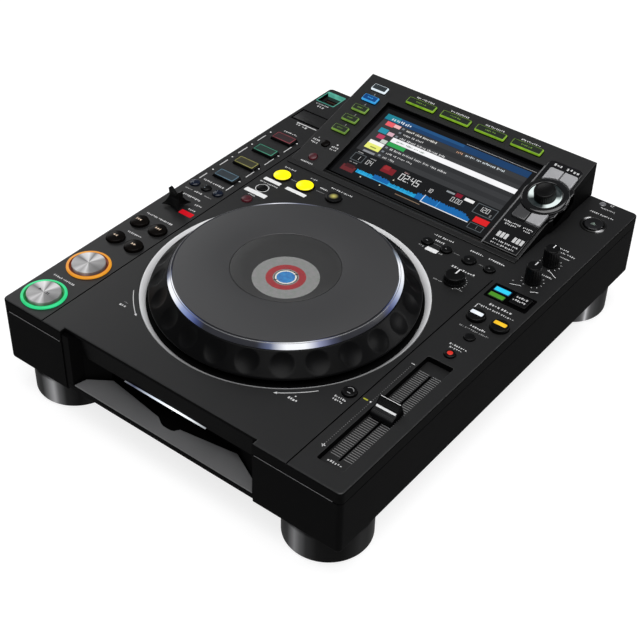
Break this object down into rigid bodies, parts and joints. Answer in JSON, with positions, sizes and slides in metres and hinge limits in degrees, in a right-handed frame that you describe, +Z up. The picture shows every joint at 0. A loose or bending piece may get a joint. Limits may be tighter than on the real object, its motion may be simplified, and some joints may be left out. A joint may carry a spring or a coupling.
{
  "type": "tabletop dj disc player",
  "caption": "Tabletop disc player for mixing music: turning jog wheel, sprung buttons and keys, tempo slider, knobs, a sloped display housing and a front disc slot.",
  "frame": {"origin": "under the middle of the body, on the table that the feet stand on", "axes": "+X to the player's right, +Y to the rear where the display stands, +Z up"},
  "size_m": [0.32, 0.405, 0.1185],
  "materials": {
    "case_black": "fine matte",
    "panel_charcoal": "fine grained matte",
    "gloss_black": "gloss",
    "key_black": "satin",
    "lip_grey": "matte",
    "ring_silver": "polished chamfer",
    "cap_metal": "circular brushed",
    "jog_plate_grey": "dark anodised satin",
    "cover_glass": "clear cover over a display",
    "loop_yellow": "lit translucent",
    "key_grey": "satin",
    "key_lit": "lit translucent",
    "foot_black": "smooth",
    "board_green": "solder mask",
    "steel_frame": "plain"
  },
  "bodies": {
    "chassis": {"lower_case": "case_black", "top_panel": "panel_charcoal", "front_bezel": "gloss_black", "slot_lip": "lip_grey", "rear_panel": "case_black", "display_housing": "panel_charcoal", "display_glass": "cover_glass", "selector_plate": "gloss_black", "jog_surround_ring": "ring_silver", "main_board": "board_green", "drive_frame": "steel_frame", "jog_base": "case_black", "foot_front_left": "foot_black", "foot_front_right": "foot_black", "foot_rear_left": "foot_black", "foot_rear_right": "foot_black"},
    "jog_wheel": {"jog_rim": "key_black", "jog_plate": "jog_plate_grey", "jog_window": "cover_glass", "jog_hub": "key_black"},
    "fader_cap": {"fader_cap": "key_black"},
    "sd_door": {"sd_door": "panel_charcoal"},
    "direction_lever": {"direction_lever": "key_black"},
    "selector_knob": {"selector_knob": "key_black"},
    "touch_brake_knob": {"touch_brake_knob": "key_black"},
    "release_start_knob": {"release_start_knob": "key_black"},
    "jog_adjust_knob": {"jog_adjust_knob": "key_black"},
    "call_rocker": {"call_rocker": "key_black"},
    "memory_rocker": {"memory_rocker": "key_black"},
    "power_switch": {"power_switch": "key_black"},
    "disc_spindle": {"disc_spindle": "steel_frame"},
    "optical_pickup": {"optical_pickup": "key_black"},
    "play_button": {"play_button": "cap_metal"},
    "cue_button": {"cue_button": "cap_metal"},
    "search_rev_button": {"search_rev_button": "key_black"},
    "search_fwd_button": {"search_fwd_button": "key_black"},
    "track_rev_button": {"track_rev_button": "key_black"},
    "track_fwd_button": {"track_fwd_button": "key_black"},
    "loop_in_button": {"loop_in_button": "loop_yellow"},
    "loop_out_button": {"loop_out_button": "loop_yellow"},
    "reloop_button": {"reloop_button": "key_black"},
    "beat_loop_button": {"beat_loop_button": "key_black"},
    "slip_button": {"slip_button": "key_black"},
    "tempo_reset_button": {"tempo_reset_button": "key_black"},
    "tempo_range_button": {"tempo_range_button": "key_black"},
    "master_tempo_button": {"master_tempo_button": "key_black"},
    "sync_button": {"sync_button": "key_black"},
    "master_button": {"master_button": "key_black"},
    "eject_button": {"eject_button": "key_black"},
    "jog_mode_button": {"jog_mode_button": "key_black"},
    "hot_cue_1": {"hot_cue_1": "key_black"},
    "hot_cue_2": {"hot_cue_2": "key_black"},
    "hot_cue_3": {"hot_cue_3": "key_black"},
    "hot_cue_4": {"hot_cue_4": "key_black"},
    "bank_keys": {"bank_keys": "key_black"},
    "time_mode_button": {"time_mode_button": "key_black"},
    "quantize_button": {"quantize_button": "key_black"},
    "source_keys": {"source_keys": "key_lit"},
    "browse_keys": {"browse_keys": "key_lit"},
    "segment_keys": {"segment_keys": "key_grey"}
  },
  "joints": [
    {"name": "jog_spin", "type": "hinge", "parent": "chassis", "child": "jog_wheel", "pos_m": [-0.0015, -0.06, 0.09], "axis": [0, 0, 1], "continuous": true},
    {"name": "tempo_slide", "type": "slide", "parent": "chassis", "child": "fader_cap", "axis": [0, 1, 0], "range_m": [-0.05, 0.05]},
    {"name": "sd_door_hinge", "type": "hinge", "parent": "chassis", "child": "sd_door", "pos_m": [-0.1393, 0.15545, 0.0853], "axis": [1, 0, 0], "range_deg": [-90, 0]},
    {"name": "direction_lever_tilt", "type": "hinge", "parent": "chassis", "child": "direction_lever", "pos_m": [-0.142, -0.0292, 0.082], "axis": [1, 0, 0], "range_deg": [-8, 8]},
    {"name": "selector_turn", "type": "hinge", "parent": "chassis", "child": "selector_knob", "pos_m": [0.1006, 0.14816, 0.10396], "axis": [0, -0.2585, 0.966], "continuous": true},
    {"name": "touch_brake_knob_turn", "type": "hinge", "parent": "chassis", "child": "touch_brake_knob", "pos_m": [0.138, 0.0975, 0.086], "axis": [0, 0, 1], "range_deg": [-140, 140]},
    {"name": "release_start_knob_turn", "type": "hinge", "parent": "chassis", "child": "release_start_knob", "pos_m": [0.1385, 0.0696, 0.086], "axis": [0, 0, 1], "range_deg": [-140, 140]},
    {"name": "jog_adjust_knob_turn", "type": "hinge", "parent": "chassis", "child": "jog_adjust_knob", "pos_m": [0.0915, 0.031, 0.086], "axis": [0, 0, 1], "range_deg": [-140, 140]},
    {"name": "call_rocker_tilt", "type": "hinge", "parent": "chassis", "child": "call_rocker", "pos_m": [0.0558, 0.0601, 0.085], "axis": [0, 1, 0], "range_deg": [-4, 4], "stiffness_Nm_per_rad": 0.05},
    {"name": "memory_rocker_tilt", "type": "hinge", "parent": "chassis", "child": "memory_rocker", "pos_m": [0.0958, 0.0601, 0.085], "axis": [0, 1, 0], "range_deg": [-4, 4], "stiffness_Nm_per_rad": 0.05},
    {"name": "power_switch_tilt", "type": "hinge", "parent": "chassis", "child": "power_switch", "pos_m": [0.11, 0.1994, 0.054], "axis": [1, 0, 0], "range_deg": [0, 17]},
    {"name": "disc_spin", "type": "hinge", "parent": "chassis", "child": "disc_spindle", "pos_m": [-0.003, -0.11, 0.05], "axis": [0, 0, 1], "continuous": true},
    {"name": "pickup_sled", "type": "slide", "parent": "chassis", "child": "optical_pickup", "axis": [0, 1, 0], "range_m": [0, 0.022]},
    {"name": "play_button_press", "type": "slide", "parent": "chassis", "child": "play_button", "axis": [0, 0, 1], "range_m": [-0.001, 0], "stiffness_N_per_m": 300, "springref_m": 0.001},
    {"name": "cue_button_press", "type": "slide", "parent": "chassis", "child": "cue_button", "axis": [0, 0, 1], "range_m": [-0.001, 0], "stiffness_N_per_m": 300, "springref_m": 0.001},
    {"name": "search_rev_button_press", "type": "slide", "parent": "chassis", "child": "search_rev_button", "axis": [0, 0, 1], "range_m": [-0.001, 0], "stiffness_N_per_m": 300, "springref_m": 0.001},
    {"name": "search_fwd_button_press", "type": "slide", "parent": "chassis", "child": "search_fwd_button", "axis": [0, 0, 1], "range_m": [-0.001, 0], "stiffness_N_per_m": 300, "springref_m": 0.001},
    {"name": "track_rev_button_press", "type": "slide", "parent": "chassis", "child": "track_rev_button", "axis": [0, 0, 1], "range_m": [-0.001, 0], "stiffness_N_per_m": 300, "springref_m": 0.001},
    {"name": "track_fwd_button_press", "type": "slide", "parent": "chassis", "child": "track_fwd_button", "axis": [0, 0, 1], "range_m": [-0.001, 0], "stiffness_N_per_m": 300, "springref_m": 0.001},
    {"name": "loop_in_button_press", "type": "slide", "parent": "chassis", "child": "loop_in_button", "axis": [0, 0, 1], "range_m": [-0.001, 0], "stiffness_N_per_m": 300, "springref_m": 0.001},
    {"name": "loop_out_button_press", "type": "slide", "parent": "chassis", "child": "loop_out_button", "axis": [0, 0, 1], "range_m": [-0.001, 0], "stiffness_N_per_m": 300, "springref_m": 0.001},
    {"name": "reloop_button_press", "type": "slide", "parent": "chassis", "child": "reloop_button", "axis": [0, 0, 1], "range_m": [-0.001, 0], "stiffness_N_per_m": 300, "springref_m": 0.001},
    {"name": "beat_loop_button_press", "type": "slide", "parent": "chassis", "child": "beat_loop_button", "axis": [0, 0, 1], "range_m": [-0.0008, 0], "stiffness_N_per_m": 300, "springref_m": 0.001},
    {"name": "slip_button_press", "type": "slide", "parent": "chassis", "child": "slip_button", "axis": [0, 0, 1], "range_m": [-0.0008, 0], "stiffness_N_per_m": 300, "springref_m": 0.001},
    {"name": "tempo_reset_button_press", "type": "slide", "parent": "chassis", "child": "tempo_reset_button", "axis": [0, 0, 1], "range_m": [-0.001, 0], "stiffness_N_per_m": 300, "springref_m": 0.001},
    {"name": "tempo_range_button_press", "type": "slide", "parent": "chassis", "child": "tempo_range_button", "axis": [0, 0, 1], "range_m": [-0.0008, 0], "stiffness_N_per_m": 300, "springref_m": 0.001},
    {"name": "master_tempo_button_press", "type": "slide", "parent": "chassis", "child": "master_tempo_button", "axis": [0, 0, 1], "range_m": [-0.0008, 0], "stiffness_N_per_m": 300, "springref_m": 0.001},
    {"name": "sync_button_press", "type": "slide", "parent": "chassis", "child": "sync_button", "axis": [0, 0, 1], "range_m": [-0.001, 0], "stiffness_N_per_m": 300, "springref_m": 0.001},
    {"name": "master_button_press", "type": "slide", "parent": "chassis", "child": "master_button", "axis": [0, 0, 1], "range_m": [-0.001, 0], "stiffness_N_per_m": 300, "springref_m": 0.001},
    {"name": "eject_button_press", "type": "slide", "parent": "chassis", "child": "eject_button", "axis": [0, 0, 1], "range_m": [-0.001, 0], "stiffness_N_per_m": 300, "springref_m": 0.001},
    {"name": "jog_mode_button_press", "type": "slide", "parent": "chassis", "child": "jog_mode_button", "axis": [0, 0, 1], "range_m": [-0.0008, 0], "stiffness_N_per_m": 300, "springref_m": 0.001},
    {"name": "hot_cue_1_press", "type": "slide", "parent": "chassis", "child": "hot_cue_1", "axis": [0, 0, 1], "range_m": [-0.001, 0], "stiffness_N_per_m": 300, "springref_m": 0.001},
    {"name": "hot_cue_2_press", "type": "slide", "parent": "chassis", "child": "hot_cue_2", "axis": [0, 0, 1], "range_m": [-0.001, 0], "stiffness_N_per_m": 300, "springref_m": 0.001},
    {"name": "hot_cue_3_press", "type": "slide", "parent": "chassis", "child": "hot_cue_3", "axis": [0, 0, 1], "range_m": [-0.001, 0], "stiffness_N_per_m": 300, "springref_m": 0.001},
    {"name": "hot_cue_4_press", "type": "slide", "parent": "chassis", "child": "hot_cue_4", "axis": [0, 0, 1], "range_m": [-0.001, 0], "stiffness_N_per_m": 300, "springref_m": 0.001},
    {"name": "bank_keys_press", "type": "slide", "parent": "chassis", "child": "bank_keys", "axis": [0, 0, 1], "range_m": [-0.0008, 0], "stiffness_N_per_m": 300, "springref_m": 0.001},
    {"name": "time_mode_button_press", "type": "slide", "parent": "chassis", "child": "time_mode_button", "axis": [0, -0.2585, 0.966], "range_m": [-0.0008, 0], "stiffness_N_per_m": 300, "springref_m": 0.001},
    {"name": "quantize_button_press", "type": "slide", "parent": "chassis", "child": "quantize_button", "axis": [0, -0.2585, 0.966], "range_m": [-0.0008, 0], "stiffness_N_per_m": 300, "springref_m": 0.001},
    {"name": "source_keys_press", "type": "slide", "parent": "chassis", "child": "source_keys", "axis": [0, -0.2585, 0.966], "range_m": [-0.0008, 0], "stiffness_N_per_m": 300, "springref_m": 0.001},
    {"name": "browse_keys_press", "type": "slide", "parent": "chassis", "child": "browse_keys", "axis": [0, -0.2585, 0.966], "range_m": [-0.0008, 0], "stiffness_N_per_m": 300, "springref_m": 0.001},
    {"name": "segment_keys_press", "type": "slide", "parent": "chassis", "child": "segment_keys", "axis": [0, -0.2585, 0.966], "range_m": [-0.0008, 0], "stiffness_N_per_m": 300, "springref_m": 0.001}
  ]
}
